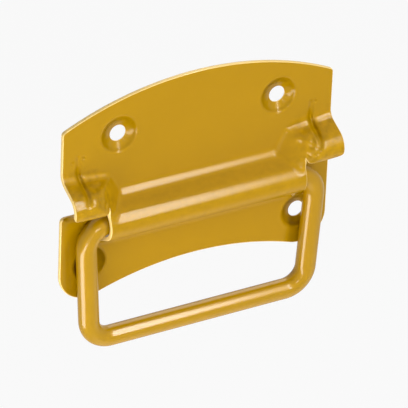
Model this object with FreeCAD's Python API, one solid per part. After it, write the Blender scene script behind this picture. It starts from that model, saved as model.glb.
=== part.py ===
import FreeCAD, Part
import math
import os

# Chest handle: a pressed sheet plate and a bent round-rod bail that swings in it.
# X runs along the width, Z is up, Y goes into the wall and the room side is -Y.
# The pieces are shaped with z = 0 at the hinge axis. They are then lowered so that
# the origin lies on the back face, midway between the two upper screw holes.
# All sizes are in millimetres.

V = FreeCAD.Vector

# Plate blank
PLATE_W = 100.0
SHEET = 1.5
ARC_R = 114.0
TOP_Z = 46.2
LOW_Z = -22.4
TOP_CORNER_R = 1.5
FOOT_R = 10.0

# Bead across the middle, open towards the wall
BEAD_CROWN_R = 5.8
BEAD_FOOT_R = 4.2
BEAD_HALF_W = 11.0
BEAD_RISE = 9.5
BEAD_END_X = 36.5

# Stop ear at each end of the bead
EAR_TOP_Z = 19.8
EAR_TOP_DROP = 0.17
EAR_CREASE_R = 3.5
EAR_FALL_DEG = 65.0
EAR_FALL_LEN = 5.0
EAR_CROWN_R = 6.0
EAR_LIP_R = 4.2
EAR_LIP_Z = 6.1
FLANK_X = 28.5
FLANK_Z = 8.5
FLANK_SLOPE_X = 0.94
FLANK_SLOPE_Z = 0.53
BLEND = 1.6

# Tab below each ear, with a cut between them
TAB_TOP_Z = 3.0
TAB_CORNER_R = 1.6
SLIT_W = 1.2
SLIT_FOOT_Z = -10.2

# Screw holes: an upper pair and a wider lower pair, each in a round dish
HOLE_R = 2.85
UPPER_HOLE_X = 29.5
UPPER_HOLE_Z = 29.7
LOWER_HOLE_X = 39.0
LOWER_HOLE_Z = -16.4
UPPER_DISH_R = 6.9
LOWER_DISH_R = 6.3
DISH_ROLL_W = 0.8
DISH_ROLL_DEPTH = 0.10
DISH_BEND_W = 1.35
DISH_BEND_DEPTH = 0.42
DISH_WALL_R = 5.0
DISH_WALL_DEPTH = 0.75
DISH_BOWL_DEPTH = 0.98
DISH_DEPTH = 1.0

# Bail
ROD_R = 3.5
AXIS_Y = -5.4
BAIL_DROP = 43.4
BAIL_HALF_TOP = 43.1
BAIL_HALF_LOW = 40.5
BAIL_BEND_R = 8.0
JOURNAL_IN_X = 22.0
ROD_END_CHAMFER = 0.6

# Raised part of the plate: grid pitch and the field it covers
FIELD_X0 = 26.0
FIELD_TOP_Z = 26.0
NX = 41
NZ = 53


def bead_rise(z):
    # Height of the bead over the flat: crown arc, straight flank, crease arc.
    z = abs(z)
    if z >= BEAD_HALF_W:
        return 0.0
    crown_h = BEAD_RISE - BEAD_CROWN_R
    dz = BEAD_HALF_W
    dh = BEAD_FOOT_R - crown_h
    gap = math.hypot(dz, dh)
    lean = math.acos((BEAD_CROWN_R + BEAD_FOOT_R) / gap) + math.atan2(dh, dz)
    z1 = BEAD_CROWN_R * math.cos(lean)
    h1 = crown_h + BEAD_CROWN_R * math.sin(lean)
    z2 = BEAD_HALF_W - BEAD_FOOT_R * math.cos(lean)
    h2 = BEAD_FOOT_R - BEAD_FOOT_R * math.sin(lean)
    if z <= z1:
        return crown_h + math.sqrt(BEAD_CROWN_R ** 2 - z * z)
    if z >= z2:
        return BEAD_FOOT_R - math.sqrt(BEAD_FOOT_R ** 2 - (BEAD_HALF_W - z) ** 2)
    return h1 + (h2 - h1) * (z - z1) / (z2 - z1)


def ear_rise(z):
    # Height of the ear over the flat: crease arc, slope, crown arc, turned-in lip.
    t = math.radians(EAR_FALL_DEG)
    h1 = EAR_CREASE_R * (1 - math.cos(t))
    z1 = EAR_TOP_Z - EAR_CREASE_R * math.sin(t)
    h2 = h1 + EAR_FALL_LEN * math.sin(t)
    z2 = z1 - EAR_FALL_LEN * math.cos(t)
    h3 = h2 + EAR_CROWN_R * (1 - math.cos(t))
    z3 = z2 - EAR_CROWN_R * math.sin(t)
    if z >= EAR_TOP_Z:
        return 0.0
    if z >= z1:
        return EAR_CREASE_R - math.sqrt(EAR_CREASE_R ** 2 - (EAR_TOP_Z - z) ** 2)
    if z >= z2:
        return h1 + (h2 - h1) * (z1 - z) / (z1 - z2)
    if z >= z3:
        return h3 - EAR_CROWN_R + math.sqrt(EAR_CROWN_R ** 2 - (z - z3) ** 2)
    fall = min(z3 - z, 0.8 * EAR_LIP_R)
    return h3 - EAR_LIP_R + math.sqrt(EAR_LIP_R ** 2 - fall ** 2)


def blend_width(a, b):
    # Blends fade out where either height comes down to the flat.
    return max(BLEND * min(1.0, min(a, b) / 1.5), 1e-9)


def smooth_max(a, b):
    k = blend_width(a, b)
    d = max(k - abs(a - b), 0.0)
    return max(a, b) + d * d / (4 * k)


def smooth_min(a, b):
    k = blend_width(a, b)
    d = max(k - abs(a - b), 0.0)
    return min(a, b) - d * d / (4 * k)


def soft_start(t, w):
    # Zero below -w, then a smooth start that joins the straight line t at w.
    if t <= -w:
        return 0.0
    if t >= w:
        return t
    return (t + w) ** 2 / (4 * w)


def smooth_step(t):
    t = min(max(t, 0.0), 1.0)
    return t * t * (3 - 2 * t)


def rise(x, z):
    # Height of the whole upper pressing over the flat at (x, z), for z >= 0.
    x = abs(x)
    bead = bead_rise(z)
    top = EAR_TOP_Z - EAR_TOP_DROP * (PLATE_W / 2 - x)
    mid = EAR_LIP_Z + 2.5
    zz = z if z < mid else mid + (z - mid) * (EAR_TOP_Z - mid) / (top - mid)
    flank = FLANK_SLOPE_X * (x - FLANK_X) - FLANK_SLOPE_Z * (z - FLANK_Z)
    ear = smooth_min(ear_rise(zz), soft_start(flank, 1.0))
    both = smooth_max(bead, ear)
    share = smooth_step(z / 5.0)
    return bead + (both - bead) * share


def back_rise(x, z):
    # Height of the back face: one sheet thickness inside the front face.
    best = rise(x, z)
    for i in range(1, 9):
        r = SHEET * i / 8.0
        keep = SHEET - math.sqrt(max(SHEET ** 2 - r * r, 0.0))
        for j in range(16):
            a = math.pi * j / 8.0
            h = rise(x + r * math.cos(a), abs(z + r * math.sin(a)))
            best = min(best, h + keep)
    return best


def field_face(height, offset):
    # Smooth surface through the heights on an even grid over the ear side.
    dx = (PLATE_W / 2 - FIELD_X0) / (NX - 1)
    dz = FIELD_TOP_Z / (NZ - 1)
    rows = []
    for i in range(NX):
        x = FIELD_X0 + i * dx
        rows.append([offset + height(x, j * dz) for j in range(NZ)])
    surface = Part.BSplineSurface()
    surface.interpolate(rows, FIELD_X0, dx, 0.0, dz)
    return surface


def stood_up(geometry):
    # Turn a height field laid in XY so that its heights point to the room.
    shape = geometry.toShape()
    shape.rotate(V(0, 0, 0), V(1, 0, 0), 90)
    return shape


def swept_block(face, depth):
    return face.extrude(V(0, depth, 0))


def ear_side():
    front = field_face(rise, SHEET)
    back = field_face(back_rise, 0.0)
    body = swept_block(stood_up(front), 30)
    hollow = swept_block(stood_up(back), 40)
    return body.cut(hollow), front, back


def middle_bay(front, back):
    # Between the two ears the section stays the same all along X.
    length = V(-2 * FIELD_X0, 0, 0)
    body = stood_up(front.uIso(front.bounds()[0])).extrude(length)
    hollow = stood_up(back.uIso(back.bounds()[0])).extrude(length)
    return swept_block(body, 30).cut(swept_block(hollow, 40))


def mirrored(shape):
    return shape.mirror(V(0, 0, 0), V(1, 0, 0))


def arc(p, q, r):
    # Arc through three (x, z) points, laid in the plane y = 0.
    return Part.Arc(V(p[0], 0, p[1]), V(q[0], 0, q[1]), V(r[0], 0, r[1])).toShape()


def line(p, q):
    return Part.makeLine(V(p[0], 0, p[1]), V(q[0], 0, q[1]))


def prism(edges, y0, y1):
    # Closed outline in the XZ plane, pulled from y0 to y1.
    face = Part.Face(Part.Wire(Part.sortEdges(edges)[0]))
    face.translate(V(0, y0, 0))
    return face.extrude(V(0, y1 - y0, 0))


def on_circle(cx, cz, r, deg):
    a = math.radians(deg)
    return (cx + r * math.cos(a), cz + r * math.sin(a))


def blank_outline():
    # Arched top, straight sides, arched foot edge and two round feet.
    half = PLATE_W / 2
    top_c = TOP_Z - ARC_R
    low_c = LOW_Z - ARC_R
    # top corner: a small arc inside both the top arc and the side
    kx = half - TOP_CORNER_R
    kz = top_c + math.sqrt((ARC_R - TOP_CORNER_R) ** 2 - kx ** 2)
    k_deg = math.degrees(math.atan2(kz - top_c, kx))
    # foot: an arc touching the side and the outside of the lower arc
    fx = half - FOOT_R
    fz = low_c + math.sqrt((ARC_R + FOOT_R) ** 2 - fx ** 2)
    f_deg = math.degrees(math.atan2(fz - low_c, fx))
    top_r = on_circle(0, top_c, ARC_R, k_deg)
    side_top = (half, kz)
    side_low = (half, fz)
    foot_in = on_circle(0, low_c, ARC_R, f_deg)
    edges = []
    for s in (1, -1):
        edges.append(arc((s * top_r[0], top_r[1]),
                         (s * (kx + TOP_CORNER_R * math.cos(math.radians(k_deg / 2))),
                          kz + TOP_CORNER_R * math.sin(math.radians(k_deg / 2))),
                         (s * side_top[0], side_top[1])))
        edges.append(line((s * half, kz), (s * half, fz)))
        mid_deg = -(180 - f_deg) / 2
        m = on_circle(fx, fz, FOOT_R, mid_deg)
        edges.append(arc((s * side_low[0], side_low[1]), (s * m[0], m[1]), (s * foot_in[0], foot_in[1])))
    edges.append(arc((-top_r[0], top_r[1]), (0, TOP_Z), top_r))
    edges.append(arc((-foot_in[0], foot_in[1]), (0, LOW_Z), foot_in))
    return edges


def slot_outline():
    # Window between the ear's lip and the tab, with the slit beside the bead's end.
    x0 = BEAD_END_X
    x1 = x0 + SLIT_W
    far = PLATE_W / 2 + 2
    side = PLATE_W / 2
    lip = EAR_LIP_Z
    c = TAB_CORNER_R
    return [
        arc((x0, lip + 1.6), (x0 + 0.9, lip + 0.45), (x0 + 2.6, lip)),
        line((x0 + 2.6, lip), (side - 5, lip)),
        arc((side - 5, lip), (side - 1.6, lip + 0.25), (side + 0.2, lip + 1.0)),
        line((side + 0.2, lip + 1.0), (far, lip + 1.0)),
        line((far, lip + 1.0), (far, TAB_TOP_Z - c)),
        line((far, TAB_TOP_Z - c), (side, TAB_TOP_Z - c)),
        arc((side, TAB_TOP_Z - c), (side - 0.29 * c, TAB_TOP_Z - 0.29 * c), (side - c, TAB_TOP_Z)),
        line((side - c, TAB_TOP_Z), (x1 + c, TAB_TOP_Z)),
        arc((x1 + c, TAB_TOP_Z), (x1 + 0.29 * c, TAB_TOP_Z - 0.29 * c), (x1, TAB_TOP_Z - c)),
        line((x1, TAB_TOP_Z - c), (x1, SLIT_FOOT_Z + SLIT_W / 2)),
        arc((x1, SLIT_FOOT_Z + SLIT_W / 2), (x0 + SLIT_W / 2, SLIT_FOOT_Z), (x0, SLIT_FOOT_Z + SLIT_W / 2)),
        line((x0, SLIT_FOOT_Z + SLIT_W / 2), (x0, lip + 1.6)),
    ]


def bead_section(grow):
    # Lower half of the bead's section on the plane x = 0, grown outwards by the given amount.
    crown = BEAD_CROWN_R - SHEET + grow
    foot = BEAD_FOOT_R + SHEET - grow
    cy = -SHEET - (BEAD_RISE - BEAD_CROWN_R)
    fy = -SHEET - BEAD_FOOT_R
    dz = BEAD_HALF_W
    dh = fy - cy
    lean = math.acos((crown + foot) / math.hypot(dz, dh)) - math.atan2(dh, dz)
    z1 = -crown * math.cos(lean)
    y1 = cy - crown * math.sin(lean)
    z2 = -BEAD_HALF_W + foot * math.cos(lean)
    y2 = fy + foot * math.sin(lean)
    half = (math.pi / 2 - lean) / 2
    flat_y = fy + foot
    a = Part.Arc(V(0, cy - crown, 0),
                 V(0, cy - crown * math.cos(half), -crown * math.sin(half)),
                 V(0, y1, z1)).toShape()
    b = Part.makeLine(V(0, y1, z1), V(0, y2, z2))
    c = Part.Arc(V(0, y2, z2),
                 V(0, fy + foot * math.cos(half), -BEAD_HALF_W + foot * math.sin(half)),
                 V(0, flat_y, -BEAD_HALF_W)).toShape()
    low = -BEAD_HALF_W - 3
    far = 20.0
    d = Part.makeLine(V(0, flat_y, -BEAD_HALF_W), V(0, flat_y, low))
    e = Part.makeLine(V(0, flat_y, low), V(0, far, low))
    f = Part.makeLine(V(0, far, low), V(0, far, 0))
    g = Part.makeLine(V(0, far, 0), V(0, cy - crown, 0))
    return Part.Face(Part.Wire([a, b, c, d, e, f, g]))


def lower_bead():
    body = bead_section(SHEET).extrude(V(2 * PLATE_W, 0, 0))
    hollow = bead_section(0).extrude(V(2 * PLATE_W, 0, 0))
    both = body.cut(hollow)
    both.translate(V(-PLATE_W, 0, 0))
    keep = Part.makeBox(2 * BEAD_END_X, 40, 40, V(-BEAD_END_X, -30, -40))
    return both.common(keep)


def flat_slabs():
    # Flat sheet above the pressing, below the bead, and the two tabs.
    blank = prism(blank_outline(), -SHEET, 0)
    pressed = Part.makeBox(PLATE_W + 4, 40, FIELD_TOP_Z, V(-PLATE_W / 2 - 2, -30, 0))
    bead = Part.makeBox(2 * BEAD_END_X, 40, BEAD_HALF_W + 3, V(-BEAD_END_X, -30, -BEAD_HALF_W - 3))
    flat = blank.cut(pressed).cut(bead)
    tab = Part.makeBox(PLATE_W / 2 - BEAD_END_X, SHEET, TAB_TOP_Z, V(BEAD_END_X, -SHEET, 0))
    return flat.fuse([tab, mirrored(tab)])


def dish(x, z, dish_r):
    # Round dish: rolled rim, steep wall, gentle bowl, then the hole.
    y0 = -SHEET
    start = V(0, y0 - 1, 0)
    top = V(dish_r, y0 - 1, 0)
    edge = V(dish_r, y0, 0)
    roll = V(dish_r - DISH_ROLL_W, y0 + DISH_ROLL_DEPTH, 0)
    bend = V(dish_r - DISH_BEND_W, y0 + DISH_BEND_DEPTH, 0)
    wall = V(DISH_WALL_R * dish_r / UPPER_DISH_R, y0 + DISH_WALL_DEPTH, 0)
    bowl = V((DISH_WALL_R + HOLE_R) / 2, y0 + DISH_BOWL_DEPTH, 0)
    lip = V(HOLE_R - 0.4, y0 + DISH_DEPTH, 0)
    floor = V(0, y0 + DISH_DEPTH, 0)
    curve = Part.BSplineCurve()
    curve.interpolate([edge, roll, bend, wall, bowl, lip])
    wire = Part.Wire([Part.makeLine(start, top), Part.makeLine(top, edge), curve.toShape(),
                      Part.makeLine(lip, floor), Part.makeLine(floor, start)])
    cup = Part.Face(wire).revolve(V(0, 0, 0), V(0, 1, 0), 360)
    cup.translate(V(x, 0, z))
    hole = Part.makeCylinder(HOLE_R, 20, V(x, -10, z), V(0, 1, 0))
    return cup.fuse(hole)


def mounting_plate():
    side, front, back = ear_side()
    window = prism(slot_outline(), -30, 10)
    side = side.cut(window)
    mid = middle_bay(front, back)
    plate = mid.fuse([side, mirrored(side), lower_bead(), flat_slabs()])
    plate = plate.cut(window).cut(mirrored(window))
    blank = prism(blank_outline(), -40, 40)
    plate = plate.common(blank)
    for s in (1, -1):
        plate = plate.cut(dish(s * UPPER_HOLE_X, UPPER_HOLE_Z, UPPER_DISH_R))
        plate = plate.cut(dish(s * LOWER_HOLE_X, LOWER_HOLE_Z, LOWER_DISH_R))
    return plate.removeSplitter()


def rounded_path(points, radius):
    # Straight runs joined by tangent arcs of one radius.
    edges = []
    at = points[0]
    for i in range(1, len(points) - 1):
        p = points[i]
        u = (points[i - 1] - p).normalize()
        w = (points[i + 1] - p).normalize()
        half = u.getAngle(w) / 2
        run = radius / math.tan(half)
        bis = (u + w).normalize()
        centre = p + bis * (radius / math.sin(half))
        a = p + u * run
        b = p + w * run
        edges.append(Part.makeLine(at, a))
        edges.append(Part.Arc(a, centre - bis * radius, b).toShape())
        at = b
    edges.append(Part.makeLine(at, points[-1]))
    return Part.Wire(edges)


def bail():
    y = AXIS_Y
    pts = [V(-JOURNAL_IN_X, y, 0), V(-BAIL_HALF_TOP, y, 0), V(-BAIL_HALF_LOW, y, -BAIL_DROP),
           V(BAIL_HALF_LOW, y, -BAIL_DROP), V(BAIL_HALF_TOP, y, 0), V(JOURNAL_IN_X, y, 0)]
    path = rounded_path(pts, BAIL_BEND_R)
    ring = Part.Wire(Part.makeCircle(ROD_R, pts[0], V(1, 0, 0)))
    rod = path.makePipeShell([ring], True, False)
    ends = [e for e in rod.Edges if abs(abs(e.CenterOfMass.x) - JOURNAL_IN_X) < 0.01 and e.isClosed()]
    return rod.makeChamfer(ROD_END_CHAMFER, ends)


def export(shape, name):
    solid = shape.Solids[0]
    solid.translate(V(0, 0, -UPPER_HOLE_Z))
    box = solid.BoundBox
    print(name, "solids", len(shape.Solids), "valid", solid.isValid(), "volume", round(solid.Volume, 1),
          "box", [round(v, 2) for v in (box.XMin, box.XMax, box.YMin, box.YMax, box.ZMin, box.ZMax)])
    solid.exportStep("parts/" + name + ".step")


os.makedirs("parts", exist_ok=True)
export(mounting_plate(), "mounting_plate")
export(bail(), "bail_handle")
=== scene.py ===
# %% [markdown]
# # A chest handle in zinc-plated steel
#
# The real object is a sheet steel plate, pressed to shape, with a bent round rod that swings in it.
# A long bead runs across the plate and is open at its ends, so it is the rod's bearing.
# At each end of the bead the sheet is pushed out into an ear, which stops the handle when it swings up.
# The CAD model already has every size. This lesson builds a finer skin over it, with soft edges
# and the small marks of the press, and gives both pieces their yellow zinc finish.

# %% Load the CAD frame
import math
import bpy
import numpy as np
from mathutils import Matrix, Vector
from mathutils.geometry import delaunay_2d_cdt


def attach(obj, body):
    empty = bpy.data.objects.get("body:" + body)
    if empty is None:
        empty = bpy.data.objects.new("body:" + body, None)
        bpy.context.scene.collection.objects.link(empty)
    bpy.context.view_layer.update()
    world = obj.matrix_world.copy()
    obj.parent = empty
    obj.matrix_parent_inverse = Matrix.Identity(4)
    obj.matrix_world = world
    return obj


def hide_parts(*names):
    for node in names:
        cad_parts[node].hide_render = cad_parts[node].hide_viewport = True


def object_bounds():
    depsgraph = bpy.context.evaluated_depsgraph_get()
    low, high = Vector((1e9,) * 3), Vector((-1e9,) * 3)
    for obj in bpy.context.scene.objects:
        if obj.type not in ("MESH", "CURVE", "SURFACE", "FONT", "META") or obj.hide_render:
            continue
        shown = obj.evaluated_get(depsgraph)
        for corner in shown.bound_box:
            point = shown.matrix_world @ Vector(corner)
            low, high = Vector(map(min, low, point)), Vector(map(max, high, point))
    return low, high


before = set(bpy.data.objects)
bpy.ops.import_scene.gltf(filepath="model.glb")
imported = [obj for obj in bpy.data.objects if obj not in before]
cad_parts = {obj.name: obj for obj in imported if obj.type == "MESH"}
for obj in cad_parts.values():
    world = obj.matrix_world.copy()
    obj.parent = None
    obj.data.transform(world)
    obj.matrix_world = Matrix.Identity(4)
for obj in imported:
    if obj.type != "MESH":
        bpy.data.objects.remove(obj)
cad_low, cad_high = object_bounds()
print("CAD nodes:", sorted(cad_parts))
print("CAD box in mm:", [round(v * 1000, 2) for v in cad_low], [round(v * 1000, 2) for v in cad_high])

# %% [markdown]
# ## Sizes
#
# The shapes below are worked out in millimetres, with z = 0 on the hinge axis, because the bead and
# the ears are symmetric about that line. The frame's origin lies between the two upper screw holes,
# so a last step lowers everything by 29.7 mm and turns millimetres into metres.

# %% Name the sizes
MM = 0.001
AXIS_Z = -29.7
SHEET = 1.5
HALF_W = 50.0
ARC_R = 114.0
TOP_Z = 46.2
LOW_Z = -22.4
FOOT_R = 10.0
CORNER_R = 1.5
BEAD_END_X = 36.5
HOLE_R = 2.85
EDGE_R = 0.32


def to_frame(points):
    out = np.array(points, float) * MM
    out[:, 2] += AXIS_Z * MM
    return out


print("plate", 2 * HALF_W, "mm wide, sheet", SHEET, "mm, edges rounded by", EDGE_R, "mm")

# %% [markdown]
# ## The pressed surface
#
# A pressed sheet is one surface that has been pushed out by different amounts, so its front can be
# written as a height above the flat for each place on the plate. The bead is a round crown that runs
# into the flat through a softer crease, and the ear is a crease, a slope and a rounded lip.
# Formulas are used here instead of sculpting, because highlights on metal show every dent.

# %% Height of the bead
CROWN_R = 5.8
CREASE_R = 4.2
BEAD_HALF = 11.0
BEAD_RISE = 9.5


def bead_rise(z):
    z = np.abs(z)
    crown_h = BEAD_RISE - CROWN_R
    dh = CREASE_R - crown_h
    lean = math.acos((CROWN_R + CREASE_R) / math.hypot(BEAD_HALF, dh)) + math.atan2(dh, BEAD_HALF)
    z1, h1 = CROWN_R * math.cos(lean), crown_h + CROWN_R * math.sin(lean)
    z2, h2 = BEAD_HALF - CREASE_R * math.cos(lean), CREASE_R - CREASE_R * math.sin(lean)
    crown = crown_h + np.sqrt(np.maximum(CROWN_R ** 2 - z * z, 0))
    crease = CREASE_R - np.sqrt(np.maximum(CREASE_R ** 2 - (BEAD_HALF - z) ** 2, 0))
    slope = h1 + (h2 - h1) * (z - z1) / (z2 - z1)
    return np.select([z <= z1, z >= BEAD_HALF, z >= z2], [crown, 0.0 * z, crease], slope)


print("bead height at its middle:", float(bead_rise(np.array(0.0))), "mm")

# %% Height of the stop ears
EAR_TOP = 19.8
EAR_CREASE_R = 3.5
EAR_FALL = math.radians(65.0)
EAR_RUN = 5.0
EAR_R = 6.0
LIP_R = 4.2
LIP_REACH = 0.8
LIP_Z = 6.1


def ear_rise(z):
    t = EAR_FALL
    h1, z1 = EAR_CREASE_R * (1 - math.cos(t)), EAR_TOP - EAR_CREASE_R * math.sin(t)
    h2, z2 = h1 + EAR_RUN * math.sin(t), z1 - EAR_RUN * math.cos(t)
    h3, z3 = h2 + EAR_R * (1 - math.cos(t)), z2 - EAR_R * math.sin(t)
    crease = EAR_CREASE_R - np.sqrt(np.maximum(EAR_CREASE_R ** 2 - (EAR_TOP - z) ** 2, 0))
    slope = h1 + (h2 - h1) * (z1 - z) / (z1 - z2)
    crown = h3 - EAR_R + np.sqrt(np.maximum(EAR_R ** 2 - (z - z3) ** 2, 0))
    lip = h3 - LIP_R + np.sqrt(LIP_R ** 2 - np.clip(z3 - z, 0, LIP_REACH * LIP_R) ** 2)
    return np.select([z >= EAR_TOP, z >= z1, z >= z2, z >= z3], [0.0 * z, crease, slope, crown], lip)


print("ear height at its crown:", round(float(ear_rise(np.array(7.0))), 2), "mm")

# %% Join bead and ears
EAR_TOP_DROP = 0.17
EAR_BEND_Z = LIP_Z + 6.0
FLANK_X = 28.5
FLANK_Z = 8.5
FLANK_SLOPE_X = 0.94
FLANK_SLOPE_Z = 0.53
FLANK_FOOT = 1.0
FLANK_BLEND = 2.3
BEAD_BLEND = 1.6
FULL_BLEND_RISE = 1.5
EAR_START = 5.0
WINDOW_Z = 4.5
TAB_FROM_X = BEAD_END_X + 0.5
TAB_SWELL = 0.08
SWELL_TOP_Z = -8.0
SWELL_FADE = 1.5


def smooth_step(t):
    t = np.clip(t, 0, 1)
    return t * t * (3 - 2 * t)


def soft_pair(a, b, sign, blend):
    # sign +1 keeps the higher of the two, -1 the lower, both with a rounded meeting line, which
    # fades out where the lower one comes down to the flat
    k = np.maximum(blend * np.clip(np.minimum(a, b) / FULL_BLEND_RISE, 0, 1), 1e-9)
    d = np.maximum(k - np.abs(a - b), 0)
    return (np.maximum(a, b) if sign > 0 else np.minimum(a, b)) + sign * d * d / (4 * k)


def soft_start(t, w):
    # zero, then a straight rise, with a rounded bend between them
    return np.where(t <= -w, 0.0, np.where(t >= w, t, (np.maximum(t, -w) + w) ** 2 / (4 * w)))


def pressed_rise(x, z):
    ax, up = np.abs(x), np.maximum(z, 0)
    bead = bead_rise(z)
    # the ear's upper crease drops a little towards the middle of the plate
    top = EAR_TOP - EAR_TOP_DROP * (HALF_W - ax)
    squeeze = (EAR_TOP - EAR_BEND_Z) / (top - EAR_BEND_Z)
    zz = np.where(up < EAR_BEND_Z, up, EAR_BEND_Z + (up - EAR_BEND_Z) * squeeze)
    flank = FLANK_SLOPE_X * (ax - FLANK_X) - FLANK_SLOPE_Z * (up - FLANK_Z)
    ear = soft_pair(ear_rise(zz), soft_start(flank, FLANK_FOOT), -1, FLANK_BLEND)
    upper = bead + (soft_pair(bead, ear, 1, BEAD_BLEND) - bead) * smooth_step(up / EAR_START)
    # the tabs stay flat; only below the slit does the last of the bead run out into them
    swell = np.minimum(bead, TAB_SWELL) * (1 - smooth_step((ax - BEAD_END_X) / SWELL_FADE))
    tab = swell * (z < SWELL_TOP_Z)
    return np.where((ax > TAB_FROM_X) & (z < WINDOW_Z), tab, np.where(z >= 0, upper, bead))


print("height beside the ear flank:", round(float(pressed_rise(np.array(40.0), np.array(10.0))), 2), "mm")

# %% [markdown]
# ## Screw dishes
#
# Each screw hole sits in a round dish, so that a screw head lies below the surface. A low ring
# stands around it, then a steep wall drops, and a cone leads down to the hole. On the real plate
# the dish also bulges at the back. Here the back stays flush, so the mesh has a shallower section,
# and the slope that is still missing is kept as a height for the material's bump. Each section is
# a list of depths at a few radii, joined by straight lines and then smoothed.

# %% Depth of a dish
UPPER_RIM_R = 6.9
LOWER_RIM_R = 6.3
DISHES = [(-29.5, 29.7, UPPER_RIM_R), (29.5, 29.7, UPPER_RIM_R),
          (-39.0, -16.4, LOWER_RIM_R), (39.0, -16.4, LOWER_RIM_R)]
SECTION_R = [2.85, 3.4, 4.0, 4.5, 5.0, 5.4, 5.7, 6.0, 6.3, 6.6, 6.9, 7.2, 7.8, 8.4]
REAL_DEPTH = [3.15, 2.78, 2.35, 1.98, 1.58, 1.20, 0.88, 0.55, 0.25, 0.05, -0.06, -0.10, -0.05, 0.0]
MESH_DEPTH = [1.20, 0.96, 0.72, 0.58, 0.48, 0.42, 0.36, 0.22, 0.08, 0.00, -0.04, -0.06, -0.03, 0.0]
FINE_R = np.linspace(2.0, 9.0, 351)
BELL = np.hanning(25)


def dish_depth(x, z, section):
    table = np.interp(FINE_R, SECTION_R, section)
    smooth = np.convolve(np.pad(table, len(BELL) // 2, mode="edge"), BELL / BELL.sum(), "valid")
    depth = np.zeros_like(x)
    for cx, cz, rim in DISHES:
        depth += np.interp(np.hypot(x - cx, z - cz) * UPPER_RIM_R / rim, FINE_R, smooth)
    return depth


print("dish depth in the mesh:", MESH_DEPTH[0], "mm, on the real plate:", REAL_DEPTH[0], "mm")

# %% [markdown]
# ## Marks of the press
#
# Where the ear is pushed out, the sheet folds a little: a narrow groove runs down through the top
# crease of each ear, with a few small pinches beside it. Each mark is a soft dent with a place,
# a width and a depth, and a groove is the deepest of many dents along a line. Sculpting could make
# them too, but a list of dents can be read and changed. They differ from left to right.

# %% Dents and grooves
GROOVE_WIDTH = 0.55
GROOVE_DENTS = 41
PINCH_WIDTH = 0.6
# x, z and depth along each groove
GROOVES = [
    [(-44.3, 24.6, 0.20), (-44.1, 21.5, 0.35), (-44.2, 18.6, 0.55),
     (-43.7, 16.4, 0.75), (-44.0, 14.6, 0.60), (-44.7, 12.4, 0.30)],
    [(42.0, 24.2, 0.20), (42.2, 21.4, 0.35), (42.3, 18.8, 0.60),
     (42.5, 16.6, 0.85), (42.2, 14.8, 0.60), (41.2, 12.6, 0.30)],
]
# x, z, width and depth of each pinch
PINCHES = [
    (-42.3, 24.2, 0.6, 0.25), (-46.2, 22.8, 0.9, 0.18), (-40.0, 12.0, 1.1, 0.25), (-38.2, 9.6, 0.8, 0.22),
    (43.6, 24.1, 0.6, 0.25), (39.5, 13.6, 1.0, 0.25), (40.6, 11.4, 0.7, 0.22), (38.4, 11.9, 0.8, 0.2),
    (39.6, 9.4, 0.7, 0.25), (37.6, 9.2, 0.6, 0.2), (36.0, 12.4, 1.2, 0.2), (34.8, 14.6, 1.0, 0.12),
]


def dent(x, z, at_x, at_z, width, depth):
    return depth * np.exp(-((x - at_x) ** 2 + (z - at_z) ** 2) / (2 * width ** 2))


def press_marks(x, z):
    total = np.zeros_like(x)
    for path in GROOVES:
        walk = np.array(path)
        t = np.linspace(0, len(walk) - 1, GROOVE_DENTS)
        gx, gz, gd = (np.interp(t, np.arange(len(walk)), walk[:, k]) for k in range(3))
        groove = np.zeros_like(x)
        for at_x, at_z, depth in zip(gx, gz, gd):
            groove = np.maximum(groove, dent(x, z, at_x, at_z, GROOVE_WIDTH, depth))
        total += groove
    for at_x, at_z, width, depth in PINCHES:
        total += dent(x, z, at_x, at_z, PINCH_WIDTH * width, depth)
    return total


print("grooves:", len(GROOVES), "pinches:", len(PINCHES))

# %% Tab edges and stretched areas
TAB_TOP = 3.0
SCOOP_X = [37.7, 41.0, 45.0, 48.0, 49.6]
SCOOP_FOOT_Z = [2.0, 0.6, 0.5, 1.6, 2.9]
SCOOP_START_X = 37.1
BEAD_STRETCH = 0.35


def tab_scoop(x, z):
    # the shear dragged the front face of each tab down along its top edge
    ax = np.abs(x)
    foot = np.interp(ax, SCOOP_X, SCOOP_FOOT_Z)
    t = np.clip((z - foot) / np.maximum(TAB_TOP - foot, 0.1), 0, 1)
    return np.where((ax > SCOOP_START_X) & (z < WINDOW_Z), t, 0.0)


def fade_in(value, start, width):
    return smooth_step((value - start) / width)


def stretch(x, z):
    # how hard the sheet was drawn: most at the ears, a little on the bead, and none on the flat
    ax = np.abs(x)
    ear = fade_in(ax - 0.25 * z, 28, 6) * fade_in(z, 4, 3) * (1 - fade_in(z, 16, 7))
    bead = BEAD_STRETCH * (1 - fade_in(np.abs(z), 6, 4)) * (ax < BEAD_END_X)
    return np.maximum(ear, bead)


print("stretch on the bead:", round(float(stretch(np.array(0.0), np.array(0.0))), 2))

# %% [markdown]
# ## The outline
#
# The blank is cut before it is pressed: an arched top, straight sides and two round feet. A narrow
# window runs in from each side between ear and tab, and turns down beside the end of the bead.
# The outline is one closed line, and it is walked once here as a list of even steps. A curve object
# could draw it too, but the rows beside the edge are worked out from these points.

# %% Arcs and straights in even steps
STEP = 0.5


def arc_points(cx, cz, r, a0, a1):
    n = max(2, int(abs(a1 - a0) * r / STEP) + 1)
    return [(cx + r * math.cos(a), cz + r * math.sin(a)) for a in np.linspace(a0, a1, n)]


def straight_points(p, q):
    n = max(2, int(math.dist(p, q) / STEP) + 1)
    return [tuple(np.add(p, np.multiply(t, np.subtract(q, p)))) for t in np.linspace(0, 1, n)]


print("a quarter of a hole in steps:", len(arc_points(0, 0, HOLE_R, 0, math.pi / 2)), "points")

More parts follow.
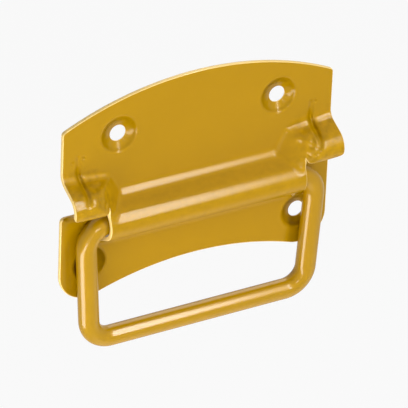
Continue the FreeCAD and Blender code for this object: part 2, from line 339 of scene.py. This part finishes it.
# %% Walk the outline
SHORTEST = 0.08
SLIT_W = 1.2
SLIT_FOOT_Z = -10.2
TAB_CORNER_R = 1.6
WINDOW_CORNER_R = 2.0
WINDOW_RUN_GAP = 0.2
# the ear's lip rises a little towards the plate's side: places in from the side and up from the lip
LIP_SLOPE_IN = 5.0
LIP_KNEE_IN = 2.4
LIP_KNEE_UP = 0.32
LIP_CORNER_UP = 1.9
LIP_CORNER_R = 1.4
LIP_CORNER_TURN = 0.44 * math.pi


def right_side():
    # from the middle of the top edge, clockwise as seen from the front, to the middle of the foot edge
    top_c, low_c = TOP_Z - ARC_R, LOW_Z - ARC_R
    kx = HALF_W - CORNER_R
    kz = top_c + math.sqrt((ARC_R - CORNER_R) ** 2 - kx ** 2)
    k = math.atan2(kz - top_c, kx)
    fx = HALF_W - FOOT_R
    fz = low_c + math.sqrt((ARC_R + FOOT_R) ** 2 - fx ** 2)
    f = math.atan2(fz - low_c, fx)
    lip, tab, c = LIP_Z, TAB_TOP, TAB_CORNER_R
    lip_end = lip + LIP_CORNER_UP
    x0, x1 = BEAD_END_X, BEAD_END_X + SLIT_W
    r, w = SLIT_W / 2, WINDOW_CORNER_R
    foot = SLIT_FOOT_Z + r
    runs = [
        arc_points(0, top_c, ARC_R, math.pi / 2, k),
        arc_points(kx, kz, CORNER_R, k, 0),
        straight_points((HALF_W, kz), (HALF_W, lip_end)),
        arc_points(HALF_W - LIP_CORNER_R, lip_end, LIP_CORNER_R, 0, -LIP_CORNER_TURN),
        straight_points((HALF_W - LIP_KNEE_IN, lip + LIP_KNEE_UP), (HALF_W - LIP_SLOPE_IN, lip)),
        straight_points((HALF_W - LIP_SLOPE_IN, lip), (x0 + w + WINDOW_RUN_GAP, lip)),
        arc_points(x0 + w, lip + w, w, -math.pi / 2, -math.pi),
        straight_points((x0, lip + w), (x0, foot)),
        arc_points(x0 + r, foot, r, math.pi, 2 * math.pi),
        straight_points((x1, foot), (x1, tab - c)),
        arc_points(x1 + c, tab - c, c, math.pi, math.pi / 2),
        straight_points((x1 + c, tab), (HALF_W - c, tab)),
        arc_points(HALF_W - c, tab - c, c, math.pi / 2, 0),
        straight_points((HALF_W, tab - c), (HALF_W, fz)),
        arc_points(fx, fz, FOOT_R, 0, f - math.pi),
        arc_points(0, low_c, ARC_R, f, math.pi / 2),
    ]
    walk = [runs[0][0]]
    for run in runs:
        for p in run:
            if math.dist(p, walk[-1]) > SHORTEST:
                walk.append(p)
    return np.array(walk)


side = right_side()
outline = np.vstack([side[:-1], (side * [-1, 1])[::-1][:-1]])[::-1]
area = 0.5 * np.sum(outline[:, 0] * np.roll(outline[:, 1], -1) - np.roll(outline[:, 0], -1) * outline[:, 1])
print("outline points:", len(outline), "area", round(float(area), 1), "mm2")

# %% [markdown]
# ## Rounded edges
#
# A sheared and plated edge is never sharp. The skin therefore has a few thin rows that follow each
# edge, and each row sinks a little more, as a quarter circle does. The same rows serve front and back.
# This could be a bevel modifier, but a bevel on a fine curved mesh leaves creases that show in the shine.

# %% Rows beside an edge
TURN = np.radians([0.0, 30.0, 60.0, 90.0])
LAST_ROW = 1.7
RING_POINTS = 72
ROW_AT = list(EDGE_R * (1 - np.cos(TURN))) + [EDGE_R * LAST_ROW]
ROW_SINK = list(EDGE_R * (1 - np.sin(TURN))) + [0.0]


def inward(loop, distance):
    # loop runs counter-clockwise around material: its left side is inside
    t = np.roll(loop, -1, 0) - np.roll(loop, 1, 0)
    t /= np.linalg.norm(t, axis=1)[:, None]
    return loop + distance * np.stack([-t[:, 1], t[:, 0]], 1)


def ring(cx, cz, r):
    a = np.arange(RING_POINTS) * 2 * math.pi / RING_POINTS
    return np.stack([cx + r * np.cos(a), cz + r * np.sin(a)], 1)


edge_rows = [inward(outline, d) for d in ROW_AT]
print("edge rows:", len(edge_rows), "of", len(outline), "points")

# %% [markdown]
# ## Fill the plate
#
# Between the edge rows and the dishes the plate is filled with even points, joined by a
# Delaunay triangulation that keeps the rows as they are. Around each hole the points lie in rings
# instead, so that the dish reflects as a clean circle.

# %% Collect the flat layout
# distance from the hole's edge, and how far that ring sinks
HOLE_SINK = [(0.0, 0.12), (0.04, 0.05), (0.12, 0.0)]
RING_START = 0.35
RING_PITCH = 0.27
RING_OVER = 0.5
layout, sinks = [], []


def add_row(points, sink):
    start = sum(len(p) for p in layout)
    layout.append(np.asarray(points))
    sinks.append(np.full(len(points), sink))
    return list(range(start, start + len(points)))


def dish_reach(cz, rim):
    # the lower dishes lie close to the slits, so their rings stop short of the rim
    return rim + (RING_OVER if cz > 0 else -RING_OVER)


outer_ids = [add_row(p, s) for p, s in zip(edge_rows, ROW_SINK)]
ring_ids = []
for cx, cz, rim in DISHES:
    last = dish_reach(cz, rim)
    radii = [(HOLE_R + d, s) for d, s in HOLE_SINK]
    radii += [(r, 0.0) for r in np.arange(HOLE_R + RING_START, last, RING_PITCH)] + [(last, 0.0)]
    ring_ids.append([add_row(ring(cx, cz, r), s) for r, s in radii])
print("rows and rings:", len(outer_ids) + sum(len(r) for r in ring_ids))

# %% Find the even points inside
GRID = 0.62
FINE = 0.42
GRID_Z = (-45, 50)
EDGE_GAP = 0.5 * FINE
DISH_GAP = 0.3
CHUNK = 64
EAR_FIELD_X = 31.0
EAR_FIELD_Z = (-1.0, 26.5)


def inside(points, loop):
    hit = np.zeros(len(points), bool)
    p, q = loop, np.roll(loop, -1, 0)
    for (x0, z0), (x1, z1) in zip(p, q):
        if z0 == z1:
            continue
        crosses = (points[:, 1] > min(z0, z1)) & (points[:, 1] <= max(z0, z1))
        hit ^= crosses & (points[:, 0] < x0 + (points[:, 1] - z0) * (x1 - x0) / (z1 - z0))
    return hit


def nearest(points, loop):
    best = np.full(len(points), 1e9)
    for start in range(0, len(loop), CHUNK):
        part = loop[start:start + CHUNK]
        d = np.hypot(points[:, None, 0] - part[None, :, 0], points[:, None, 1] - part[None, :, 1])
        best = np.minimum(best, d.min(1))
    return best


def grid_points(pitch):
    gx, gz = np.meshgrid(np.arange(-HALF_W, HALF_W, pitch), np.arange(*GRID_Z, pitch))
    return np.stack([gx.ravel(), gz.ravel()], 1)


def near_ear(points):
    # finer points are laid here, because the sheet bends most around the ears
    low_z, high_z = EAR_FIELD_Z
    return (np.abs(points[:, 0]) > EAR_FIELD_X) & (points[:, 1] > low_z) & (points[:, 1] < high_z)


coarse, fine_grid = grid_points(GRID), grid_points(FINE)
even = np.vstack([coarse[~near_ear(coarse)], fine_grid[near_ear(fine_grid)]])
even = even[inside(even, edge_rows[-1])]
even = even[nearest(even, edge_rows[-1]) > EDGE_GAP]
for cx, cz, rim in DISHES:
    even = even[np.hypot(even[:, 0] - cx, even[:, 1] - cz) > dish_reach(cz, rim) + DISH_GAP]
add_row(even, 0.0)
flat = np.vstack(layout)
sink = np.concatenate(sinks)
print("points in the layout:", len(flat))

# %% Join the points
KEEP_INSIDE = 1
TOLERANCE = 1e-6


def closed(ids):
    return list(zip(ids, ids[1:] + ids[:1]))


def band(a, b):
    # quads between two rows that have the same count; a lies to the right of b
    n = len(a)
    return [(a[i], a[(i + 1) % n], b[(i + 1) % n], b[i]) for i in range(n)]


keep = closed(outer_ids[-1]) + [e for rows in ring_ids for e in closed(rows[-1])]
used = sorted(set(i for e in keep for i in e) | set(range(len(flat) - len(even), len(flat))))
local = {g: i for i, g in enumerate(used)}
spots = [Vector(flat[g]) for g in used]
fixed = [(local[a], local[b]) for a, b in keep]
made = delaunay_2d_cdt(spots, fixed, [], KEEP_INSIDE, TOLERANCE)
triangles, origins = made[2], made[3]
where = [used[origin[0]] for origin in origins]
faces = []
for tri in triangles:
    g = [where[i] for i in tri]
    centre = flat[g].mean(0)
    if any(math.dist(centre, (cx, cz)) < dish_reach(cz, rim) for cx, cz, rim in DISHES):
        continue
    faces.append(tuple(g))
for a, b in zip(outer_ids, outer_ids[1:]):
    faces += band(a, b)
for rows in ring_ids:
    for a, b in zip(rows, rows[1:]):
        faces += band(b[::-1], a[::-1])
print("faces in the layout:", len(faces))

# %% [markdown]
# ## Raise the sheet
#
# Every point is now lifted to its height. The back lies one sheet thickness behind, measured square
# to the surface, as in a real pressing, and the rows beside the edges sink to round them. Part of
# each press mark is left to the bump, because a deeper dent would need a finer mesh. A solidify
# modifier could make the back as well, but then the dishes would press through to it.

# %% Lift front and back
DEEPEST = 1.2
MESH_SHARE = 0.6
BUMP_SHARE = 1.1
SIDE_FADE = 3.0


def surface(points):
    return pressed_rise(points[:, 0], points[:, 1])


def normals(points):
    h = 0.02
    gx = (surface(points + [h, 0]) - surface(points - [h, 0])) / (2 * h)
    gz = (surface(points + [0, h]) - surface(points - [0, h])) / (2 * h)
    n = np.stack([-gx, -np.ones(len(points)), -gz], 1)
    return n / np.linalg.norm(n, axis=1)[:, None]


height = surface(flat)
skin = np.stack([flat[:, 0], -SHEET - height, flat[:, 1]], 1)
out = normals(flat)
# the plate was cut to width after pressing, so nothing may lean out past its sides
out[:, 0] *= np.clip((HALF_W - np.abs(flat[:, 0])) / SIDE_FADE, 0, 1)
dish = dish_depth(flat[:, 0], flat[:, 1], MESH_DEPTH)
missing = dish_depth(flat[:, 0], flat[:, 1], REAL_DEPTH) - dish
marks = press_marks(flat[:, 0], flat[:, 1])
worked = np.minimum(dish + MESH_SHARE * marks + tab_scoop(flat[:, 0], flat[:, 1]), DEEPEST)
shaded = missing + BUMP_SHARE * marks
front = skin - out * (sink + worked)[:, None]
back = skin - out * (SHEET - sink)[:, None]
front_span = [round(float(v), 2) for v in (front[:, 1].min(), front[:, 1].max())]
print("front runs in y, in mm, from and to:", front_span)

# %% Make the plate mesh
n = len(flat)
plate_faces = []
for f in faces:
    p = flat[list(f)]
    turn = 0.5 * np.sum(p[:, 0] * np.roll(p[:, 1], -1) - np.roll(p[:, 0], -1) * p[:, 1])
    f = tuple(f) if turn > 0 else tuple(reversed(f))
    plate_faces.append(f)
    plate_faces.append(tuple(i + n for i in reversed(f)))
for a, b in closed(outer_ids[0]):
    plate_faces.append((b, a, a + n, b + n))
for rows in ring_ids:
    for a, b in closed(rows[0]):
        plate_faces.append((a, b, b + n, a + n))
plate_mesh = bpy.data.meshes.new("plate_skin")
plate_mesh.from_pydata(to_frame(np.vstack([front, back])).tolist(), [], plate_faces)
plate_mesh.update()
plate_mesh.shade_smooth()
plate = bpy.data.objects.new("plate_skin", plate_mesh)
bpy.context.scene.collection.objects.link(plate)
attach(plate, "plate")
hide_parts("mounting_plate")
print("plate skin:", len(plate_mesh.vertices), "points", len(plate_mesh.polygons), "faces")

# %% Write what the finish needs to know on the plate's points
def point_values(name, values):
    plate_mesh.attributes.new(name, "FLOAT", "POINT").data.foreach_set("value", values)


# the rows that round the edges are marked here, so that the material can paint a highlight on them
point_values("painted_edge_highlight", np.tile((sink > 0).astype(float), 2))
point_values("press_depth", np.concatenate([shaded, 0 * shaded]))
point_values("stretch", np.tile(stretch(flat[:, 0], flat[:, 1]), 2))
print("values on the plate:", [a.name for a in plate_mesh.attributes if a.data_type == "FLOAT"])

# %% [markdown]
# ## The bail
#
# The handle is one steel rod with four bends: two ends that turn in under the bead, two arms and
# the grip. A circle carried along a line makes it. The line is laid first as straight runs joined
# by arcs, then the circle is placed square to it at each step, so that the rod keeps its thickness.
# A bevelled curve would give the same rod, but its two ends would lack their small chamfer.

# %% Lay the rod's middle line
ROD_R = 3.5
AXIS_Y = -5.4
BEND_R = 8.0
ROD_STEP = 1.0
BEND_STEP = 0.45
END_X = 22.0
TOP_X = 43.1
GRIP_X = 40.5
GRIP_Z = -43.4
CORNERS = [(-END_X, 0.0), (-TOP_X, 0.0), (-GRIP_X, GRIP_Z), (GRIP_X, GRIP_Z), (TOP_X, 0.0), (END_X, 0.0)]


def straight_run(p, q, step):
    k = max(1, int(np.linalg.norm(q - p) / step))
    return [p + (q - p) * t for t in np.linspace(0, 1, k + 1)[1:]]


def rounded_line(corners, radius, step):
    pts = [np.array(corners[0])]
    for before, p, after in zip(corners, corners[1:], corners[2:]):
        before, p, after = map(np.array, (before, p, after))
        u = (before - p) / np.linalg.norm(before - p)
        w = (after - p) / np.linalg.norm(after - p)
        half = 0.5 * math.acos(float(u @ w))
        centre = p + (u + w) / np.linalg.norm(u + w) * radius / math.sin(half)
        a, b = p + u * radius / math.tan(half), p + w * radius / math.tan(half)
        a0, a1 = math.atan2(*(a - centre)[::-1]), math.atan2(*(b - centre)[::-1])
        a1 += 2 * math.pi * round((a0 - a1) / (2 * math.pi))
        pts += straight_run(pts[-1], a, step)
        k = int(abs(a1 - a0) * radius / BEND_STEP)
        pts += [centre + radius * np.array([math.cos(t), math.sin(t)]) for t in np.linspace(a0, a1, k)[1:]]
    return np.array(pts + straight_run(pts[-1], np.array(corners[-1]), step))


middle = rounded_line(CORNERS, BEND_R, ROD_STEP)
length = np.concatenate([[0], np.cumsum(np.linalg.norm(np.diff(middle, axis=0), axis=1))])
print("rod length:", round(float(length[-1]), 1), "mm, in", len(middle), "steps")

# %% Carry a circle along it
AROUND = 56
CHAMFER = 0.6
CHAMFER_SOFT = 0.12
tangent = np.gradient(middle, axis=0)
tangent /= np.linalg.norm(tangent, axis=1)[:, None]
square = np.stack([-tangent[:, 1], tangent[:, 0]], 1)
around = np.arange(AROUND) * 2 * math.pi / AROUND


def rod_ring(i, radius, ahead=0.0):
    p = middle[i] + tangent[i] * ahead
    x = p[0] + radius * np.cos(around) * square[i, 0]
    z = p[1] + radius * np.cos(around) * square[i, 1]
    return np.stack([x, AXIS_Y + radius * np.sin(around), z], 1)


last = len(middle) - 1
shoulder = CHAMFER * 0.75
rings = [rod_ring(0, ROD_R - CHAMFER), rod_ring(0, ROD_R - CHAMFER_SOFT, shoulder)]
rings += [rod_ring(i, ROD_R) for i in range(1, last)]
rings += [rod_ring(last, ROD_R - CHAMFER_SOFT, -shoulder), rod_ring(last, ROD_R - CHAMFER)]
points = np.vstack(rings)
quads = []
for k in range(len(rings) - 1):
    a = list(range(k * AROUND, (k + 1) * AROUND))
    b = [i + AROUND for i in a]
    quads += band(a, b)
quads.append(tuple(reversed(range(AROUND))))
quads.append(tuple(range((len(rings) - 1) * AROUND, len(rings) * AROUND)))
bail_mesh = bpy.data.meshes.new("bail_rod")
bail_mesh.from_pydata(to_frame(points).tolist(), [], quads)
bail_mesh.update()
bail_mesh.shade_smooth()
bail = bpy.data.objects.new("bail_rod", bail_mesh)
bpy.context.scene.collection.objects.link(bail)
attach(bail, "bail")
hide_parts("bail_handle")
print("bail rod:", len(bail_mesh.vertices), "points")

# %% [markdown]
# ## A check on the skins
#
# A closed mesh whose faces all look outwards has a positive volume, and one that is inside out has a
# negative volume. The viewport can show face directions too, but a number is quicker to check. The
# plate's number is positive, as it should be. The rod's is negative, so its faces look inwards, which
# is a fault that is still to be mended. The picture doesn't give it away, because both sides of a
# face are rendered. To mend it, swap a and b in the rod's call of band, and turn round both end caps.

# %% Measure both volumes
for piece in (plate, bail):
    piece.data.calc_loop_triangles()
    co = np.array([v.co for v in piece.data.vertices])
    tri = co[np.array([t.vertices for t in piece.data.loop_triangles])]
    volume = np.einsum("ij,ij->i", tri[:, 0], np.cross(tri[:, 1], tri[:, 2])).sum() / 6
    print(piece.name, "volume", round(float(volume) * 1e9, 1), "mm3")

# %% [markdown]
# ## Zinc finish
#
# The yellow of zinc plating sits in a thin clear film on the metal. The gold hardly changes with the
# light, and what shines on it is nearly white. A full metal shader would tint every highlight gold,
# so here a rough gold base lies under a smooth clear coat. The steel below is slightly uneven, so
# colour and shine are broken up very softly, and more so where the press stretched the sheet. Both
# pieces share one node group for this, so that they match.

# %% A node group for the plating
GRAIN_SCALE = 1500
GRAIN_HEIGHT = 0.08
SPECKLE_SCALE = 430
SPECKLE_COLOUR = 0.8


def new_group(name, inputs, outputs):
    group = bpy.data.node_groups.new(name, "ShaderNodeTree")
    for label, kind, value in inputs:
        socket = group.interface.new_socket(label, in_out="INPUT", socket_type=kind)
        socket.default_value = value
    for label, kind in outputs:
        group.interface.new_socket(label, in_out="OUTPUT", socket_type=kind)
    return group, group.nodes.new("NodeGroupInput"), group.nodes.new("NodeGroupOutput")


def zinc_group():
    group, given, made = new_group(
        "zinc plating",
        [("Colour", "NodeSocketColor", (0.5, 0.27, 0.01, 1)),
         ("Spread", "NodeSocketFloat", 0.08),
         ("Roughness", "NodeSocketFloat", 0.35),
         ("Patch Size", "NodeSocketFloat", 90.0),
         ("Mottle", "NodeSocketFloat", 0.1)],
        [("Colour", "NodeSocketColor"),
         ("Roughness", "NodeSocketFloat"),
         ("Height", "NodeSocketFloat")])
    add, link = group.nodes.new, group.links.new
    place = add("ShaderNodeTexCoord")

    def noise(detail):
        node = add("ShaderNodeTexNoise")
        node.inputs["Detail"].default_value = detail
        link(place.outputs["Object"], node.inputs["Vector"])
        return node

    broad = noise(3)
    link(given.outputs["Patch Size"], broad.inputs["Scale"])
    grain = noise(2)
    grain.inputs["Scale"].default_value = GRAIN_SCALE
    speckle = noise(2)
    speckle.inputs["Scale"].default_value = SPECKLE_SCALE

    def combine(operation, a, b):
        node = add("ShaderNodeMath")
        node.operation = operation
        for value, socket in zip((a, b), node.inputs):
            if isinstance(value, float):
                socket.default_value = value
            else:
                link(value, socket)
        return node.outputs[0]

    patch = combine("MULTIPLY", combine("SUBTRACT", broad.outputs["Fac"], 0.5), given.outputs["Spread"])
    spot = combine("MULTIPLY", combine("SUBTRACT", speckle.outputs["Fac"], 0.5), given.outputs["Mottle"])
    bright = combine("ADD", combine("ADD", patch, combine("MULTIPLY", spot, SPECKLE_COLOUR)), 1.0)
    tinted = add("ShaderNodeHueSaturation")
    link(given.outputs["Colour"], tinted.inputs["Color"])
    link(bright, tinted.inputs["Value"])
    link(tinted.outputs[0], made.inputs["Colour"])
    link(combine("ADD", patch, given.outputs["Roughness"]), made.inputs["Roughness"])
    fine = combine("MULTIPLY", grain.outputs["Fac"], GRAIN_HEIGHT)
    link(combine("ADD", fine, spot), made.inputs["Height"])
    return group


zinc = zinc_group()
print("node group:", zinc.name)

# %% [markdown]
# ## Two materials
#
# The rod and the sheet have the same plating, but the rod was drawn smooth, so it shines more. One
# function makes both, so that their gold stays the same. The sheet's material then also reads the
# three values on its points: a highlight is painted along its cut edges as a lighter colour, its press
# marks bend the light through a bump, and its stretched areas are mottled. The bump moves the clear
# coat too, because most of the shine is there.

# %% Make the plated metal
GOLD = (0.37, 0.199, 0.0, 1)


def zinc_material(name, roughness, coat):
    material = bpy.data.materials.new(name)
    material.use_nodes = True
    nodes, link = material.node_tree.nodes, material.node_tree.links.new
    shader = nodes["Principled BSDF"]
    plating = nodes.new("ShaderNodeGroup")
    plating.name = "plating"
    plating.node_tree = zinc
    plating.inputs["Colour"].default_value = GOLD
    plating.inputs["Roughness"].default_value = roughness
    link(plating.outputs["Colour"], shader.inputs["Base Color"])
    link(plating.outputs["Roughness"], shader.inputs["Roughness"])
    grain = nodes.new("ShaderNodeBump")
    grain.name = "grain"
    grain.inputs["Strength"].default_value = 1.0
    grain.inputs["Distance"].default_value = 0.0001
    link(plating.outputs["Height"], grain.inputs["Height"])
    link(grain.outputs["Normal"], shader.inputs["Normal"])
    shader.inputs["Metallic"].default_value = 0.12
    shader.inputs["Specular IOR Level"].default_value = 0.0
    shader.inputs["Coat Weight"].default_value = coat
    shader.inputs["Coat Roughness"].default_value = 0.14
    return material


sheet_zinc = zinc_material("yellow_zinc_sheet", 0.5, 0.36)
rod_zinc = zinc_material("yellow_zinc_rod", 0.45, 0.6)
plate.data.materials.append(sheet_zinc)
bail.data.materials.append(rod_zinc)
print("materials:", [m.name for m in bpy.data.materials if m.users])

# %% Add the press marks, the mottling and the painted edge highlight of the sheet
# a lighter colour painted along the cut edges as their highlight
EDGE_HIGHLIGHT_COLOUR = (0.78, 0.56, 0.20, 1)


def add_press_marks_and_edge_highlight(material):
    nodes, link = material.node_tree.nodes, material.node_tree.links.new
    shader, plating, grain = nodes["Principled BSDF"], nodes["plating"], nodes["grain"]

    def mesh_value(name):
        node = nodes.new("ShaderNodeAttribute")
        node.attribute_name = name
        return node.outputs["Fac"]

    # the edge rows are mixed towards a lighter colour: a painted highlight
    lighter = nodes.new("ShaderNodeMix")
    lighter.data_type = "RGBA"
    plain, light = [socket for socket in lighter.inputs if socket.type == "RGBA"]
    mixed = [socket for socket in lighter.outputs if socket.type == "RGBA"][0]
    light.default_value = EDGE_HIGHLIGHT_COLOUR
    link(mesh_value("painted_edge_highlight"), lighter.inputs["Factor"])
    link(plating.outputs["Colour"], plain)
    link(mixed, shader.inputs["Base Color"])
    press = nodes.new("ShaderNodeBump")
    press.invert = True
    press.inputs["Strength"].default_value = 1.0
    press.inputs["Distance"].default_value = 0.001
    link(mesh_value("press_depth"), press.inputs["Height"])
    link(press.outputs["Normal"], grain.inputs["Normal"])
    link(press.outputs["Normal"], shader.inputs["Coat Normal"])
    link(mesh_value("stretch"), plating.inputs["Mottle"])


add_press_marks_and_edge_highlight(sheet_zinc)
print("nodes in the sheet's material:", len(sheet_zinc.node_tree.nodes))

# %% [markdown]
# ## Floor and world
#
# Shiny metal shows what stands around it, so the light matters as much as the material. The paper
# floor and the world look white to the camera and in reflections, but light the handle only gently:
# a bright world would give the same white picture, and wash the gold out.

# %% Lay the floor
FLOOR_DROP = 0.24
FLOOR_HALF = 3.0
floor_z = cad_low.z - FLOOR_DROP
corners = [(-1, -1), (1, -1), (1, 1), (-1, 1)]
floor_mesh = bpy.data.meshes.new("floor")
floor_mesh.from_pydata([(x * FLOOR_HALF, y * FLOOR_HALF, floor_z) for x, y in corners], [], [(0, 1, 2, 3)])
floor = bpy.data.objects.new("floor", floor_mesh)
bpy.context.scene.collection.objects.link(floor)
print("floor at", round(floor_z * 1000, 1), "mm")

# %% Paper that is white where it is seen
FLOOR_WHITE = 0.9


def seen_ray(nodes, link):
    # 1 for rays from the camera, in reflections and through clear things, 0 for light on a surface
    ray = nodes.new("ShaderNodeLightPath")
    value = ray.outputs["Is Camera Ray"]
    for name in ("Is Glossy Ray", "Is Transmission Ray"):
        either = nodes.new("ShaderNodeMath")
        either.operation = "MAXIMUM"
        link(value, either.inputs[0])
        link(ray.outputs[name], either.inputs[1])
        value = either.outputs[0]
    return value


paper = bpy.data.materials.new("white_paper")
paper.use_nodes = True
nodes, link = paper.node_tree.nodes, paper.node_tree.links.new
paper_shader = nodes["Principled BSDF"]
paper_shader.inputs["Base Color"].default_value = (0.55, 0.55, 0.55, 1)
paper_shader.inputs["Roughness"].default_value = 0.9
glow = nodes.new("ShaderNodeEmission")
share = nodes.new("ShaderNodeMath")
share.operation = "MULTIPLY"
share.inputs[1].default_value = FLOOR_WHITE
link(seen_ray(nodes, link), share.inputs[0])
mix = nodes.new("ShaderNodeMixShader")
link(share.outputs[0], mix.inputs["Fac"])
link(paper_shader.outputs[0], mix.inputs[1])
link(glow.outputs[0], mix.inputs[2])
link(mix.outputs[0], nodes["Material Output"].inputs["Surface"])
floor_mesh.materials.append(paper)
print("floor material:", paper.name)

# %% World
WORLD_WHITE = 0.95
WORLD_FILL = 0.24
world = bpy.data.worlds.new("studio")
bpy.context.scene.world = world
world.use_nodes = True
nodes, link = world.node_tree.nodes, world.node_tree.links.new
nodes["Background"].inputs["Color"].default_value = (1, 1, 1, 1)
level = nodes.new("ShaderNodeMath")
level.operation = "MULTIPLY_ADD"
level.inputs[1].default_value = WORLD_WHITE - WORLD_FILL
level.inputs[2].default_value = WORLD_FILL
link(seen_ray(nodes, link), level.inputs[0])
link(level.outputs[0], nodes["Background"].inputs["Strength"])
print("world: white", WORLD_WHITE, "where it is seen,", WORLD_FILL, "as light")

# %% [markdown]
# ## Lamps
#
# A studio lights such a handle with soft boxes, and each is a bright rectangle that the metal
# mirrors. One tall, narrow box to the front right gives the long highlights on bead and grip. Weaker
# strips beside it catch the ears, a small box near the camera catches the dishes, one low on the
# left draws the light line on the arm, and large weak boxes soften the shadows. Area lamps are used,
# because a small lamp would only leave a dot on each bend.

# %% Set up the soft boxes
LIT_POINT = Vector((0, 0, -0.03))
# name, direction from the handle, distance, width and height in metres, brightness of its face
SOFT_BOXES = [
    ("tall_soft_box", (0.405, -0.70, 0.575), 1.2, 0.13, 1.25, 23.0),
    ("side_strip_left", (0.24, -0.78, 0.58), 1.2, 0.09, 0.6, 4.5),
    ("side_strip_right", (0.57, -0.58, 0.58), 1.2, 0.09, 0.6, 5.5),
    ("near_left_soft_box", (-0.24, -0.86, 0.42), 1.2, 0.22, 0.15, 22.0),
    ("low_left_soft_box", (-0.81, -0.30, -0.5), 0.42, 0.12, 0.62, 11.0),
    ("back_soft_box", (0.434, 0.66, 0.61), 1.2, 0.5, 0.8, 2.6),
    ("left_fill", (-0.55, -0.83, -0.03), 1.1, 0.55, 0.55, 1.2),
    ("under_fill", (0.30, -0.30, -0.9), 0.26, 0.30, 0.22, 0.6),
]


def soft_box(name, toward, distance, width, height, radiance):
    # the height stands square to the bead, so that the box mirrors along the whole bend
    lamp = bpy.data.lights.new(name, "AREA")
    lamp.shape = "RECTANGLE"
    lamp.size, lamp.size_y = width, height
    lamp.energy = radiance * math.pi * width * height
    holder = bpy.data.objects.new(name, lamp)
    bpy.context.scene.collection.objects.link(holder)
    holder.visible_camera = False
    back = Vector(toward).normalized()
    tall = Vector((1, 0, 0)).cross(back).normalized()
    wide = tall.cross(back)
    turned = Matrix((wide, tall, back)).transposed().to_4x4()
    holder.matrix_world = Matrix.Translation(LIT_POINT + back * distance) @ turned


for box in SOFT_BOXES:
    soft_box(*box)

# %% [markdown]
# ## Camera
#
# The camera stands to the left of the handle and above it, with a long lens, and its picture is
# turned a little clockwise. A point near the middle of the plate is put where the photograph has it,
# and the lens follows from the number of pixels that a millimetre takes there. The camera could be
# moved by eye instead, but with named angles the view can be set again exactly.

# %% Place the camera
AZ, EL, ROLL = math.radians(30.25), math.radians(30.6), math.radians(2.35)
DISTANCE, PX_PER_MM, FRAME_PX = 1.520, 3.061, 408
SENSOR = 36
PIVOT_PX = (194.69, 180.37)
right = Vector((math.cos(AZ), -math.sin(AZ), 0))
up = Vector((math.sin(EL) * math.sin(AZ), math.sin(EL) * math.cos(AZ), math.cos(EL)))
to_camera = Vector((-math.sin(AZ) * math.cos(EL), -math.cos(AZ) * math.cos(EL), math.sin(EL)))
cam_right = right * math.cos(ROLL) + up * math.sin(ROLL)
cam_up = up * math.cos(ROLL) - right * math.sin(ROLL)
pivot = Vector((0, 0, -0.0255))
place = pivot + to_camera * DISTANCE
off_right, off_down = [(FRAME_PX / 2 - px) / PX_PER_MM * MM for px in PIVOT_PX]
aim = pivot + cam_right * off_right - cam_up * off_down
cam_data = bpy.data.cameras.new("camera")
cam_data.sensor_width = SENSOR
cam_data.lens = SENSOR * PX_PER_MM * DISTANCE / MM / FRAME_PX
cam_data.clip_start, cam_data.clip_end = 0.1, 20
camera = bpy.data.objects.new("camera", cam_data)
bpy.context.scene.collection.objects.link(camera)
back_way = (place - aim).normalized()
side_way = cam_up.cross(back_way).normalized()
up_way = back_way.cross(side_way)
turned = Matrix((side_way, up_way, back_way)).transposed().to_4x4()
camera.matrix_world = Matrix.Translation(place) @ turned
bpy.context.scene.camera = camera
bpy.context.scene.view_settings.view_transform = "Standard"
print("lens", round(cam_data.lens, 1), "mm at", [round(v, 3) for v in place])
